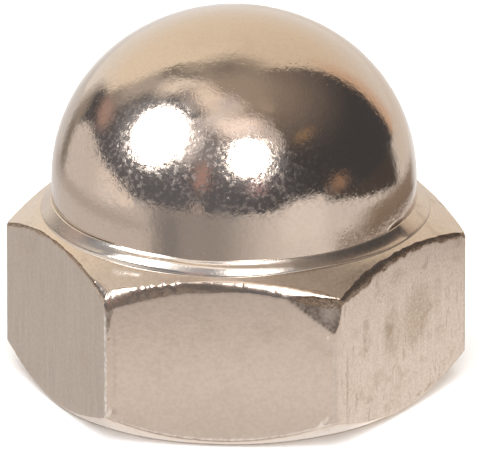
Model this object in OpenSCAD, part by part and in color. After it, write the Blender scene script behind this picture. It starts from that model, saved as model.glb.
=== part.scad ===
// Cap nut: a hexagon bar turned to a domed crown, then drilled and tapped from its bearing face.
// It stands on the bearing face, with the axis on Z and one flat facing -Y.

/* [Hexagon] */
// Width across the flats
across_flats = 11.11; // [9:0.01:16]
// Height of a flat at its middle, from the bearing face to the shoulder's edge
flat_height = 4.83; // [3.6:0.01:6.5]
// Rounding of the six long edges, as the bar is drawn
edge_radius = 0.28; // [0.1:0.01:0.6]
// Slope of the shoulder turned on the top corners
shoulder_angle = 35; // [20:1:45]
// Step in from the flats to the rim of the bearing face
bearing_inset = 0.13; // [0.05:0.01:0.4]
// Slope of the chamfer round the bearing face
bearing_angle = 30; // [15:1:40]

/* [Collar] */
// Step in from the flats to the collar's wall
collar_inset = 0.15; // [0.05:0.01:0.25]
// Height of the collar above the middle of a flat
collar_rise = 0.31; // [0.28:0.01:0.8]
// Rounding of the collar's rim
rim_radius = 0.08; // [0.02:0.01:0.1]
// Hollow fillet between the collar's wall and the shoulder, where the wall is high enough
cove_radius = 0.2; // [0.05:0.01:0.5]
// How high the hollow fillet on the collar climbs the foot of the crown
groove_rise = 0.15; // [0.05:0.01:0.25]

/* [Crown] */
// Overall height, from the bearing face to the nose
overall_height = 10.6; // [8.5:0.01:16]
// Step in from the flats to the crown's straight side
crown_inset = 0.5; // [0.4:0.01:1]
// How far from the axis the arc between side and nose has its centre
side_arc_offset = 0.45; // [0.1:0.01:0.6]
// How much larger the nose's radius is than that arc's
nose_flattening = 0.75; // [0.62:0.01:2]

/* [Tapped hole] */
// Outer diameter of the thread
thread_diameter = 6.35; // [5:0.01:7]
// Pitch of the thread, which also sets the tapping drill
thread_pitch = 1.27; // [0.5:0.01:1.6]
// How far the countersink opens past the thread, on each side
mouth_relief = 0.15; // [0.05:0.01:0.4]
// Full angle of the countersink
mouth_angle = 90; // [60:1:120]
// Metal left between the drill's point and the nose
nose_wall = 1.6; // [1:0.1:3]
// Full angle of the drill's point
point_angle = 118; // [90:1:140]

/* [Hidden] */
$fn = 120;
overlap = 0.05; // how far joined shapes and cutters run into each other

flat_radius = across_flats / 2;
corner_reach = flat_radius / cos(30);
edge_centre = (flat_radius - edge_radius) / cos(30);
bearing_radius = flat_radius - bearing_inset;

collar_radius = flat_radius - collar_inset;
collar_top = flat_height + collar_rise;
shoulder_slope = tan(shoulder_angle);
wall_foot = flat_height + collar_inset * shoulder_slope;

crown_radius = flat_radius - crown_inset;
side_arc_radius = crown_radius - side_arc_offset;
nose_radius = side_arc_radius + nose_flattening;
arc_drop = sqrt(nose_flattening ^ 2 - side_arc_offset ^ 2);
nose_centre = overall_height - nose_radius;
side_height = nose_centre + arc_drop;

drill_radius = (thread_diameter - thread_pitch) / 2;
mouth_radius = thread_diameter / 2 + mouth_relief;
mouth_depth = (mouth_radius - drill_radius) / tan(mouth_angle / 2);
point_height = drill_radius / tan(point_angle / 2);
drill_depth = overall_height - nose_wall - point_height;

// Section of the drawn bar: six flats that run into the arcs at the corners
module bar_section() {
    corners = [0:60:300];
    polygon([
        for (corner = corners) for (side = [-30, 30])
            edge_centre * [cos(corner), sin(corner)]
                + edge_radius * [cos(corner + side), sin(corner + side)]
    ]);
    for (corner = corners) rotate(corner) translate([edge_centre, 0]) circle(r = edge_radius);
}

// Half section of the hexagon's two chamfers; under the collar the shoulder runs on level
module body_outline() {
    bearing_rise = (corner_reach - bearing_radius) * tan(bearing_angle);
    shoulder_low = flat_height - (corner_reach - flat_radius) * shoulder_slope;
    under_wall = wall_foot + overlap * shoulder_slope;
    polygon([
        [0, 0], [bearing_radius, 0], [corner_reach, bearing_rise], [corner_reach, shoulder_low],
        [collar_radius - overlap, under_wall], [0, under_wall]
    ]);
}

// Half section of the collar with its rounded rim
module collar_outline() {
    square([collar_radius - rim_radius, collar_top]);
    square([collar_radius, collar_top - rim_radius]);
    translate([collar_radius - rim_radius, collar_top - rim_radius]) circle(r = rim_radius);
}

// Half section of the hollow fillet in the angle between the collar's wall and the shoulder
module cove_outline() {
    spread = tan((90 - shoulder_angle) / 2);
    wall_height = collar_top - rim_radius - wall_foot;
    radius = min(cove_radius, wall_height / spread);
    touch = radius * spread; // from the angle's corner to where the arc touches either side
    translate([collar_radius, wall_foot])
        difference() {
            polygon([
                [-overlap, -overlap], touch * [cos(shoulder_angle), -sin(shoulder_angle)],
                [0, touch], [-overlap, touch]
            ]);
            translate([radius, touch]) circle(r = radius);
        }
}

// Half section of the groove: a hollow arc over the collar, from its rim to the crown's foot
module groove_outline() {
    reach = crown_inset - collar_inset - rim_radius;
    radius = (reach ^ 2 + groove_rise ^ 2) / (2 * groove_rise);
    difference() {
        square([crown_radius + reach, collar_top + groove_rise]);
        translate([crown_radius + reach, collar_top + radius]) circle(r = radius);
    }
}

// Half section of the crown: straight side, side arc and nose arc, each tangent to the next
module crown_outline() {
    side_centre = [side_arc_offset, side_height];
    nose_foot = [0, nose_centre];
    // the two arcs meet on the line through their centres, and this point lies just past them
    meeting = nose_foot + (nose_radius + overlap) / nose_flattening * (side_centre - nose_foot);
    square([crown_radius, side_height]);
    intersection() {
        translate(side_centre) circle(r = side_arc_radius);
        square([crown_radius + overlap, overall_height]);
    }
    intersection() {
        translate(nose_foot) circle(r = nose_radius);
        polygon([nose_foot, meeting, [meeting.x, overall_height + overlap], [0, overall_height + overlap]]);
    }
}

module turned_blank() {
    rotate_extrude() {
        body_outline();
        collar_outline();
        cove_outline();
        groove_outline();
        crown_outline();
    }
}

// The countersunk mouth, the drilled wall that the thread is cut in, and the drill's point
module tapping_hole() {
    rotate_extrude()
        polygon([
            [0, -overlap], [mouth_radius + overlap * tan(mouth_angle / 2), -overlap],
            [drill_radius, mouth_depth], [drill_radius, drill_depth],
            [0, drill_depth + point_height]
        ]);
}

module cap_nut() {
    color([0.76, 0.71, 0.65])
        difference() {
            intersection() {
                translate([0, 0, -overlap]) linear_extrude(overall_height + 2 * overlap) bar_section();
                turned_blank();
            }
            tapping_hole();
        }
}

cap_nut();
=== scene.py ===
import bpy
import math
import numpy as np
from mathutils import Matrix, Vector


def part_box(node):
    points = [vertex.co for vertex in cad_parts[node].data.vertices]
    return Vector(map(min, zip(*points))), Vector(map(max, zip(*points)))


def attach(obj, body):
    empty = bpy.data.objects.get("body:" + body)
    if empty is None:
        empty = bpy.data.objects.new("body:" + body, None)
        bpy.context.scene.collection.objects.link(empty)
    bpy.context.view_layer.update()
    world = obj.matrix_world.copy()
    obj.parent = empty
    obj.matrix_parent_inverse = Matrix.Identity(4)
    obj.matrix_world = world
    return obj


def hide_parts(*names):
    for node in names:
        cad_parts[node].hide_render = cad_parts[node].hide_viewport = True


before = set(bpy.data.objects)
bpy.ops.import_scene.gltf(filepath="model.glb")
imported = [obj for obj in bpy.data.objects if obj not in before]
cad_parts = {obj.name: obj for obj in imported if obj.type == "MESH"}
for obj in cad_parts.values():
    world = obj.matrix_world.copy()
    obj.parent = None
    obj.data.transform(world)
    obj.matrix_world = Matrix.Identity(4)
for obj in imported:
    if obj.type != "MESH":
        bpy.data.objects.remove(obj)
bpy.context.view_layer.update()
nutLow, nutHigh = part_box("cap_nut")
mm = 0.001

cameraSettings = {
    "azimuth": 4.13,        # degrees from the front flat towards +X
    "elevation": 21.66,
    "distance": 0.444,
    "aimHeight": 5.0 * mm,
    "aimRight": 0.142 * mm,
    "aimUp": -0.548 * mm,
    "viewWidth": 13.335 * mm,   # what the frame spans at the nut
    "sensor": 36,
}


def towards(side, up):
    # unit vector seen from the nut: side in degrees to the camera's right, up above the floor
    azimuth = math.radians(cameraSettings["azimuth"] + side)
    elevation = math.radians(up)
    return Vector((math.sin(azimuth) * math.cos(elevation),
                   -math.cos(azimuth) * math.cos(elevation),
                   math.sin(elevation)))


def addLooking(name, data, aim, back, away):
    # a camera or lamp that stands away from the aim and looks back at it
    thing = bpy.data.objects.new(name, data)
    thing.location = aim + back * away
    thing.rotation_mode = "QUATERNION"
    thing.rotation_quaternion = (-back).to_track_quat("-Z", "Y")
    bpy.context.scene.collection.objects.link(thing)
    return thing


def setUpCamera(s):
    azimuth = math.radians(s["azimuth"])
    back = towards(0, s["elevation"])
    right = Vector((math.cos(azimuth), math.sin(azimuth), 0))
    up = back.cross(right)
    aim = Vector((0, 0, s["aimHeight"])) + right * s["aimRight"] + up * s["aimUp"]
    data = bpy.data.cameras.new("camera")
    data.sensor_width = s["sensor"]
    data.lens = s["sensor"] * s["distance"] / s["viewWidth"]
    data.clip_start = 0.01
    data.clip_end = 20
    bpy.context.scene.camera = addLooking("camera", data, aim, back, s["distance"])


setUpCamera(cameraSettings)
bpy.context.scene.view_settings.view_transform = "Standard"
print("camera ready")


def plug(tree, socket, value):
    # a link where the value comes from another socket, else a plain setting
    if isinstance(value, bpy.types.NodeSocket):
        tree.links.new(value, socket)
    else:
        socket.default_value = value


def node(tree, kind, inputs=None, **settings):
    made = tree.nodes.new(kind)
    for name, value in settings.items():
        setattr(made, name, value)
    for key, value in (inputs or {}).items():
        plug(tree, made.inputs[key], value)
    return made


def newMaterial(name):
    material = bpy.data.materials.new(name)
    material.use_nodes = True
    material.node_tree.nodes.clear()
    return material, material.node_tree


def showShader(tree, kind, inputs):
    shader = node(tree, kind, inputs)
    node(tree, "ShaderNodeOutputMaterial", {"Surface": shader.outputs[0]})


def mathNode(tree, operation, *values, clamp=False):
    made = node(tree, "ShaderNodeMath", dict(enumerate(values)), operation=operation, use_clamp=clamp)
    return made.outputs[0]


def times(tree, a, b):
    return mathNode(tree, "MULTIPLY", a, b)


def addTo(tree, total, value, share):
    return mathNode(tree, "MULTIPLY_ADD", value, share, total)


def remap(tree, value, low, high, toLow=0.0, toHigh=1.0, curve="SMOOTHSTEP"):
    limits = {"Value": value, "From Min": low, "From Max": high, "To Min": toLow, "To Max": toHigh}
    return node(tree, "ShaderNodeMapRange", limits, interpolation_type=curve, clamp=True).outputs["Result"]


def mixColour(tree, factor, a, b):
    # set to colours, the mix node takes them at its sockets 6 and 7 and gives its result at 2
    return node(tree, "ShaderNodeMix", {0: factor, 6: a, 7: b}, data_type="RGBA").outputs[2]


stageSettings = {
    "floorSize": 6.0,
    "floorColour": (0.93, 0.93, 0.93, 1),
    "tentRadius": 1.0,
    "tentStep": 1.0,            # degrees between the tent's points
    "lamps": [
        # side: degrees right of the camera, up: degrees above the floor, spread: angular radius
        {"name": "leftLamp", "side": -66.0, "up": 40.0, "away": 0.8, "spread": 18.2,
         "glow": 6.5, "colour": (1, 1, 1)},
        {"name": "frontLamp", "side": 12.0, "up": 38.2, "away": 0.8, "spread": 12.4,
         "glow": 7.5, "colour": (1, 0.97, 0.95)},
    ],
    # soft light for the floor and the dirt, from above the camera; the metal doesn't mirror it
    "panel": {"name": "panel", "side": 0.0, "up": 52.0, "away": 0.8, "radius": 0.45,
              "glow": 5.4, "colour": (1, 1, 1)},
}


def makeFloor(s):
    half = s["floorSize"] / 2
    corners = [(-half, -half, 0), (half, -half, 0), (half, half, 0), (-half, half, 0)]
    mesh = bpy.data.meshes.new("floor")
    mesh.from_pydata(corners, [], [(0, 1, 2, 3)])
    floor = bpy.data.objects.new("floor", mesh)
    floor.location = (0, 0, nutLow.z)
    bpy.context.scene.collection.objects.link(floor)
    material, tree = newMaterial("paleFloor")
    showShader(tree, "ShaderNodeBsdfDiffuse", {"Color": s["floorColour"]})
    mesh.materials.append(material)


def soft(t):
    return t * t * (3 - 2 * t)


def step(value, low, high):
    # 0 below low, 1 above high, and a soft rise between them
    return soft(np.clip((value - low) / (high - low + 1e-12), 0, 1))


def window(value, limits):
    # rises between the first two limits and falls between the last two
    return step(value, *limits[:2]) * (1 - step(value, *limits[2:]))


def fade(a, b, share):
    # colour a where share is 0, colour b where it is 1
    return np.array(a) * (1 - share[..., None]) + np.array(b) * share[..., None]


# a glowing sheet laid round the nut, seen only in the metal: painted cards, and painted light and shade on
# the floor
matSettings = {
    "near": 5.2 * mm,
    "far": 0.97,
    "height": 0.02 * mm,
    "rings": 70,
    "sideStep": 2.0,
    "plain": (0.92, 0.9, 0.89),
    # colour, sides it covers, how far out it starts and ends
    "patches": [
        ((1.2, 1.16, 1.13), (-42, -30, 14, 30), (8, 10, 14, 17)),        # painted light on the floor before the front flat
        ((1.12, 1.08, 1.05), (45, 60, 150, 165), (0, 0, 16, 18)),        # painted light on the floor beside the right flat
        ((0.79, 0.77, 0.76), (-172, -160, -62, -50), (0, 0, 900, 990)),
        ((0.64, 0.61, 0.59), (-158, -150, -64, -54), (20, 24, 29, 34)),
        ((0.34, 0.27, 0.22), (72, 106, 146, 160), (17, 19, 23, 34)),
        ((0.26, 0.20, 0.16), (60, 74, 150, 165), (15.8, 16.8, 18, 19.5)),
        ((0.86, 0.80, 0.74), (124, 134, 175, 185), (24, 34, 900, 990)),
        ((1.06, 1.04, 1.03), (24, 36, 54, 64), (17, 20, 900, 990)),
        ((0.44, 0.42, 0.42), (-62, -48, -14, 30), (13, 17, 900, 990)),   # painted shade on the floor in front, a little left
        ((0.34, 0.34, 0.36), (-50, -43, -38, -31), (13, 17, 60, 90)),
        ((0.33, 0.3, 0.27), (-148, -143, -136, -131), (24, 34, 900, 990)),
    ],
    "card": ((0.86, 0.83, 0.81), (1.12, 1.06, 1.03)),     # further off on the left
    "cardSplit": (-104, -84),      # paler to the left of this, brighter to the right
    "cardSides": (-135, -132, -69, -63),
    "cardFrom": ((-136, -64), (31 * mm, 55 * mm)),
    "cardSoft": 1.5 * mm,
    "dark": (0.1, 0.09, 0.085),      # beyond a straight edge to the right
    "darkStart": (24 * mm, -14 * mm),
    "darkEnd": (93 * mm, 30 * mm),
    "darkTo": (120, 130),
    "darkSoft": 2 * mm,
}


def paintedMesh(name, points, faces, glow, hidden):
    # an object that gives off the colours painted on its points, hidden from the named rays
    mesh = bpy.data.meshes.new(name)
    mesh.from_pydata(points, [], faces)
    colours = np.hstack([glow, np.ones((len(glow), 1))])
    layer = mesh.color_attributes.new("glow", "FLOAT_COLOR", "POINT")
    layer.data.foreach_set("color", colours.astype(np.float32).ravel())
    material, tree = newMaterial(name + "Cloth")
    paint = node(tree, "ShaderNodeVertexColor", layer_name="glow")
    showShader(tree, "ShaderNodeEmission", {"Color": paint.outputs["Color"]})
    mesh.materials.append(material)
    mesh.shade_smooth()
    made = bpy.data.objects.new(name, mesh)
    for flag in hidden:
        setattr(made, flag, False)
    bpy.context.scene.collection.objects.link(made)
    return made


def gridQuads(index, inside=False):
    # faces between the rows of a grid that closes round, to be seen from above or from inside
    after = np.roll(index, -1, axis=1)
    corners = [index[:-1], index[1:], after[1:], after[:-1]]
    if inside:
        corners[1:] = corners[:0:-1]
    return np.stack(corners, -1).reshape(-1, 4).tolist()


def makeMat(s):
    sides = np.arange(-180, 180, s["sideStep"])
    reach = s["near"] * (s["far"] / s["near"]) ** np.linspace(0, 1, s["rings"])
    side, away = np.meshgrid(sides, reach)
    right = away * np.sin(np.radians(side))
    forward = away * np.cos(np.radians(side))
    azimuth = np.radians(cameraSettings["azimuth"] + side)
    height = np.full(side.shape, s["height"])
    xyz = np.stack([away * np.sin(azimuth), -away * np.cos(azimuth), height], -1)
    quads = gridQuads(np.arange(side.size).reshape(side.shape))
    # the way each point lies when seen in the crown rather than from the nut's axis
    crownAway = np.minimum(nutSizes["crownRadius"] * mm, 0.6 * away)
    for turn in range(6):
        half = np.radians(side / 2)
        side = np.arctan2(right - crownAway * np.sin(half), forward - crownAway * np.cos(half))
        side = np.degrees(side)
    glow = np.ones((*side.shape, 3)) * s["plain"]
    for colour, across, outwards in s["patches"]:
        glow = fade(glow, colour, window(side, across) * window(away / mm, outwards))
    edge = s["cardSoft"]
    card = window(side, s["cardSides"]) * step(away - np.interp(side, *s["cardFrom"]), -edge, edge)
    glow = fade(glow, fade(*s["card"], step(side, *s["cardSplit"])), card)
    edge = s["darkSoft"]
    x0, y0 = s["darkStart"]
    x1, y1 = s["darkEnd"]
    beyond = ((x1 - x0) * (y0 - forward) + (y1 - y0) * (right - x0)) / math.hypot(x1 - x0, y1 - y0)
    dark = step(beyond, -edge, edge) * step(right, x0 - edge, x0 + edge)
    glow = fade(glow, s["dark"], dark * (1 - step(side, *s["darkTo"])))
    hidden = ["visible_camera", "visible_diffuse", "visible_shadow"]
    mat = paintedMesh("mat", xyz.reshape(-1, 3).tolist(), quads, glow.reshape(-1, 3), hidden)


# what the tent shows, painted in this order: degrees right of the camera, degrees up,
# half width, half height, softness of the rim, colour
tentPaint = [
    (-50, 14, 95, 46, 0.7, (0.17, 0.18, 0.21)),      # dim room behind the lamps
    (80, 80, 120, 44, 0.9, (0.38, 0.32, 0.28)),      # ceiling to the right
    (0, 90, 400, 23, 0.6, (0.49, 0.43, 0.38)),       # ceiling overhead
    (-138, 65, 16, 13, 0.8, (0.54, 0.49, 0.43)),
    (-119, 43, 13, 22, 0.8, (0.62, 0.58, 0.55)),
    (-48, 75, 80, 9, 0.6, (1.18, 1.08, 0.98)),       # bright strip over the left lamp
    (-12, 77, 34, 8, 0.9, (0.86, 0.82, 0.84)),
    (-108, 63, 16, 15, 0.7, (1.15, 1.08, 1.0)),
    (-76, 66, 32, 4, 0.7, (0.54, 0.51, 0.52)),
    (-67, 41, 40, 26, 0.6, (0.56, 0.60, 0.68)),      # glow round the left lamp
    (-36, 46, 12, 19, 0.8, (1.0, 0.98, 1.02)),
    (-22, 64, 28, 8, 0.7, (1.08, 1.05, 1.05)),
    (8, 59, 34, 12, 0.8, (1.6, 1.47, 1.43)),         # glow above the front lamp
    (12, 38, 29, 21, 0.7, (0.58, 0.62, 0.70)),
    (35, 48, 10, 10, 0.8, (0.9, 0.86, 0.86)),
    (-21, 40, 9, 16, 0.7, (0.38, 0.38, 0.42)),
    (-22, 24, 7, 12, 0.7, (0.58, 0.40, 0.38)),
    (15, 18, 8, 6, 0.8, (0.58, 0.42, 0.46)),
    (-117, 21, 13, 7, 0.8, (0.60, 0.44, 0.40)),
    (-139, 4, 8, 12, 0.8, (0.42, 0.38, 0.34)),
    (-23, 3, 5, 6, 0.6, (0.60, 0.54, 0.52)),
    (54, 70, 18, 8, 0.8, (0.52, 0.45, 0.38)),
    (62, 42, 13, 3, 0.7, (0.42, 0.29, 0.18)),
    (70, 7, 10, 6, 0.8, (0.40, 0.27, 0.20)),
    (45, 1, 18, 5.5, 0.5, (1.1, 1.06, 1.04)),
]
wallSettings = {
    "room": (0.078, 0.08, 0.09),
    "left": ((0, 12, 18, 24, 36, 48, 60, 66), (146, 142, 136, 128, 125, 128, 140, 150)),
    "leftSoft": 5,
    "right": ((0, 18, 60, 66), (130, 130, 134, 138)),
    "rightSoft": 2.5,
    "top": (60, 77),
    "leftColour": (1.12, 1.1, 1.06),
    "rightColour": (0.86, 0.81, 0.75),
    "rimColour": (0.84, 0.62, 0.47),       # near the right border
    "rimWidth": (3, 14),
    "rimTop": (30, 50),
    "card": ((0.87, 0.84, 0.82), (1.14, 1.08, 1.05)),
    "cardSplit": (-104, -84),      # paler to the left of this, brighter to the right
    "cardSides": (-135, -132, -64, -61),
    "cardTop": ((-133, -125, -118, -110, -100, -90, -80, -70, -63),
                (3, 9.5, 11.5, 12, 10, 7.5, 5, 2.5, -3)),
    "cardSoft": 0.6,
    "warm": (1.03, 0.97, 0.86),    # higher up
    "warmFrom": (5, 32),
}


def tentGlow(side, up):
    # a white wall behind the nut, a pale card to the left and a dim room on the camera's side
    w = wallSettings
    glow = np.ones((*side.shape, 3)) * w["room"]
    for at, height, halfWide, halfHigh, rimSoft, colour in tentPaint:
        far = np.sqrt(((side - at) / halfWide) ** 2 + ((up - height) / halfHigh) ** 2)
        glow = fade(glow, colour, 1 - step(far, 1 - rimSoft, 1 + 0.3 * rimSoft))
    below = step(np.interp(side, *w["cardTop"]) - up, -w["cardSoft"], w["cardSoft"])
    cardColour = fade(*w["card"], step(side, *w["cardSplit"]))
    glow = fade(glow, cardColour, window(side, w["cardSides"]) * below)
    pastLeft = -side - np.interp(up, *w["left"])
    pastRight = side - np.interp(up, *w["right"])
    wall = step(pastLeft, -w["leftSoft"], w["leftSoft"]) + step(pastRight, -w["rightSoft"], w["rightSoft"])
    colour = fade(w["rightColour"], w["leftColour"], 0.5 - 0.5 * np.sin(np.radians(side)))
    colour = colour * fade((1, 1, 1), w["warm"], step(up, *w["warmFrom"]))
    rim = (1 - step(pastRight, *w["rimWidth"])) * (side > 0) * (1 - step(up, *w["rimTop"]))
    colour = fade(colour, w["rimColour"], rim)
    return fade(glow, colour, wall * (1 - step(up, *w["top"])))


def makeTent(s):
    sides = np.arange(-180, 180, s["tentStep"])
    ups = np.arange(0, 90, s["tentStep"])
    side, up = np.meshgrid(sides, ups)
    azimuth = np.radians(cameraSettings["azimuth"] + side)
    elevation = np.radians(up)
    xyz = np.stack([np.sin(azimuth) * np.cos(elevation), -np.cos(azimuth) * np.cos(elevation),
                    np.sin(elevation)], -1).reshape(-1, 3)
    xyz = np.vstack([xyz, [[0, 0, 1]]]) * s["tentRadius"]
    index = np.arange(side.size).reshape(side.shape)
    caps = [(int(a), int(b), side.size) for a, b in zip(index[-1], np.roll(index[-1], -1))]
    top = tentGlow(np.array([0.0]), np.array([90.0]))
    glow = np.vstack([tentGlow(side, up).reshape(-1, 3), top])
    faces = gridQuads(index, inside=True) + caps
    tent = paintedMesh("tent", xyz.tolist(), faces, glow, ["visible_camera"])


def addLamp(lamp, radius):
    data = bpy.data.lights.new(lamp["name"], "AREA")
    data.shape = "DISK"
    data.size = 2 * radius
    data.energy = lamp["glow"] * math.pi * math.pi * radius ** 2
    data.color = lamp["colour"]
    back = towards(lamp["side"], lamp["up"])
    light = addLooking(lamp["name"], data, Vector((0, 0, 0)), back, lamp["away"])
    light.visible_camera = False
    return light


def makeLamps(s):
    for lamp in s["lamps"]:
        light = addLamp(lamp, lamp["away"] * math.tan(math.radians(lamp["spread"])))
        light.visible_diffuse = False
    panel = addLamp(s["panel"], s["panel"]["radius"])
    panel.visible_glossy = False


def makeWorld():
    world = bpy.data.worlds.new("whiteRoom")
    world.use_nodes = True
    tree = world.node_tree
    tree.nodes.clear()
    background = node(tree, "ShaderNodeBackground", {"Color": (1, 1, 1, 1), "Strength": 1.0})
    node(tree, "ShaderNodeOutputWorld", {"Surface": background.outputs[0]})
    bpy.context.scene.world = world


# sizes in millimetres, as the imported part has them
nutSizes = {
    "flatRadius": nutHigh.y / mm,
    "height": nutHigh.z / mm,
    # after the front flat, then round to the right
    "cornerRounds": (0.28, 0.28, 0.28, 0.28, 0.26, 0.09),
    "shoulderSlope": 35.0,
    "shoulderHeight": 4.935,    # where the shoulder is 5.405 from the axis
    "shoulderRadius": 5.405,
    # the bearing face's edge and the slope of the chamfer above it, every 30 degrees from the front
    "bearingRadius": (5.24, 5.225, 5.25, 5.33, 5.35, 5.38, 5.38, 5.38, 5.42, 5.45, 5.42, 5.36),
    "bearingSlope": (30, 34, 31, 40, 40, 38, 38, 38, 40, 42, 40, 37.5),
    "burrCells": (0.3, 0.12),
    "burrHeight": 0.02,
    # the collar stands a little back from the middle, every 30 degrees from the front
    "collarRadius": (5.325, 5.265, 5.33, 5.38, 5.40, 5.42, 5.42, 5.42, 5.42, 5.41, 5.38, 5.35),
    "collarFoot": 0.02,         # how far the shoulder stops short of the collar
    "rimRound": 0.035,
    "creaseHeight": 5.285,
    "crownRadius": 5.055,
    "crownShift": -0.05,
    "sideCentre": (0.45, 5.845),
    "sideRadius": 4.605,
    "noseRadius": 5.355,
    "meetRadius": 3.213,
    "minorRadius": 2.54,
    "majorRadius": 3.175,
    "pitch": 1.27,
    # one turn of the thread: how far along the pitch, how deep
    "threadForm": ((0.0, 0.0), (0.1, 0.0), (0.2, 0.0), (0.25, 0.04), (0.37, 0.36), (0.49, 0.68),
                   (0.56, 0.93), (0.6, 1.0), (0.65, 1.0), (0.69, 0.93), (0.76, 0.68), (0.88, 0.36),
                   (0.98, 0.03)),
    "mouthRadius": 3.325,
    "threadEnd": 7.0,
    "threadFade": 5.9,
    "drillDepth": 7.474,
    "pointTip": 9.0,
}
meshSettings = {
    "flatColumns": 104,
    "cornerSteps": 10,
    "crownColumns": 360,
    "holeColumns": 110,
    "recess": 0.005,       # the flats lie this far inside the box
    "seed": 11,
    # rings of points: outside the mouth, in from the bearing face's edge and up from the face,
    # then as shares of the way up each surface
    "mouthRows": (0.03, 0.35),
    "bearingRows": ((0.9, 0.0), (0.06, 0.0), (0.02, 0.003)),
    "chamferRows": (0.06, 0.35, 0.7, 0.94),
    "flatRows": (0.0, 0.009, 0.017, *np.linspace(0.03, 0.7, 30), *np.linspace(0.72, 0.985, 18), 1.0),
    "rollRows": (0.03, 0.12, 0.24, 0.36, 0.48, 0.6, 0.72, 0.85, 1.0),
    "shoulderRows": (0.02, 0.15, 0.32, 0.5, 0.68, 0.72, 0.88, 1.0),
    "rimRows": (0.25, 0.5, 0.75, 1.0),
    "beadRows": (0.92, 0.84, 0.76, 0.68, 0.6, 0.5, 0.4, 0.3, 0.2, 0.1, 0.04),
    "sideRows": 22,
    "noseRows": 17,
}
# the rolled-over edge between shoulder and flats, at even steps along each flat, from the front
# flat round to the right; a single value holds all along its flat
edgeSettings = {
    "inward": ((0.20, 0.14, 0.02, 0.02, 0.03, 0.06, 0.08, 0.10, 0.12, 0.13, 0.14, 0.16, 0.19),
               (0.08, 0.05, 0.03), (0.05, 0.06, 0.05), (0.06, 0.1, 0.06), (0.05, 0.06, 0.04),
               (0.03, 0.02, 0.02, 0.02, 0.02, 0.02, 0.18)),
    "down": ((0.34, 0.33, 0.26, 0.20, 0.21, 0.23, 0.24), (0.22, 0.25, 0.21, 0.12, 0.10),
             (0.15, 0.2, 0.16), (0.18, 0.24, 0.18), (0.14, 0.16, 0.1),
             (0.07, 0.06, 0.05, 0.05, 0.05, 0.06, 0.20)),
    "leastDown": 0.025,
    "lean": ((16, 9, 8, 9, 14, 20, 22), (11, 10.5, 10.5), 10, 14, 14, (20, 20, 20, 20, 20, 18, 16)),
    "lift": ((0.10, 0.075, 0.05, -0.01, 0.01, 0.06, 0.10), (0.10, 0.065, 0.035, 0.045, 0.11),
             (0.1, 0.05, 0.05), (0.05, 0.03, 0.03), (0.03, 0.05, 0.04), (0.04, 0.05, 0.10)),
    # how dark the roll is painted, partly with dirt and partly as painted shade, and how far up it the
    # darkening goes
    "grime": ((0.0, 0.5, 0.55, 0.5, 0.3, 0.2, 0.2), (0.75, 0.8, 0.85), 0.4, 0.4, 0.4,
              (0.9, 0.9, 0.9, 0.9, 0.9, 0.8, 0.0)),
    "grimeTop": ((0.4, 0.6, 0.6, 0.5, 0.3, 0.3, 0.3), (0.75, 0.7, 0.8), 0.8, 0.8, 0.8,
                 (1.0, 1.0, 1.0, 1.0, 1.0, 0.9, 0.4)),
    "ragged": ((0.02, 0.02, 0.016), (0.055, 0.065, 0.04), 0.02, 0.02, 0.02, (0.02, 0.03, 0.01)),
    "raggedCell": 0.2,
    "raggedParts": ((1.0, 1.0), (0.4, 0.6), (4.0, 0.8)),     # share of the cell, strength
    "raggedInward": 7,
    "fineCell": 0.06,
    # small shiny lumps on the front flat's edge: where along it, and half their width
    "lumps": ((-2.26, 0.06), (-2.0, 0.06), (-1.64, 0.06), (-1.26, 0.08)),
    "lumpSize": 0.13,
    "rimStep": (0.03, 0.03, 0.05, 0.08, 0.08, 0.09, 0.1, 0.1, 0.06, 0.02, 0.06, 0.13),
}
evenDrop = (0, 0.2, 0.4, 0.6, 0.8, 1)
# the bead between crown and collar, by degrees from the front: its profile, as the share of the
# drop reached at even steps from the crown's foot to the rim, and how far it is hollowed instead
beadSettings = {
    "sides": (-58, -42, -27, -16, 9, 20, 34),
    "drops": (evenDrop, (0, 0.28, 0.50, 0.70, 0.86, 1), (0, 0.27, 0.35, 0.49, 0.73, 1),
              (0, 0.20, 0.27, 0.41, 0.70, 1), (0, 0.29, 0.41, 0.51, 0.71, 1),
              (0, 0.22, 0.40, 0.55, 0.74, 1), evenDrop),
    # where the collar is polished smoother and painted lighter as a sheen, on the lamps' side
    "polishAndSheenSides": ((-85, -40, 14, 36), (0.0, 1.0, 1.0, 0.0)),
    "hollow": ((22, 38, 66.0, 67.2), (0.0, 1.0, 1.0, 0.0)),
    "dip": 0.08,
    # the crease at the crown's foot, painted darker as shade
    "crack": ((-180, -40, -34, 60, 66, 70, 180), (0.5, 1.0, 0.0, 0.0, 1.0, 0.3, 0.5)),
    "crackWidth": 0.03,
    "shoulderDarkening": ((28, 38, 50, 58), (0.0, 0.45, 0.45, 0.0)),    # darker on the shoulder's outer part, to the right
    # a turning mark on the shoulder: its height, where it stands proud, the ring that carries it and the
    # strength of its painted highlight
    "ridge": 0.028,
    "ridgeSides": ((-34, -32, -25, -23.5), (0.0, 1.0, 1.0, 0.0)),
    "ridgeRow": 0.72,
    "ridgeHighlight": 30,
    "creaseLift": ((-180, -60, -34, -20, -10, 0, 9, 18, 35, 66, 80, 180),
                   (0.0, 0.03, 0.09, 0.09, 0.05, 0.07, 0.095, 0.07, 0.05, 0.05, 0.0, 0.0)),
}
dentSettings = {
    "start": (1.97, 4.36),     # where the facet meets the front flat: x, z
    "end": (3.12, 3.47),
    "depth": 0.012,
    "slope": 0.24,
    "near": (1.2, -4.4),       # only points beyond this x and before this y are moved
    "grime": 0.95,
    "grimeFrom": 0.004,        # how much has to be cut away for the painted shade to stay
    "paler": (2.96, 4.02, 0.25, 0.8),   # where its painted shade is lighter: x, z, reach, by how much
}
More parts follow.
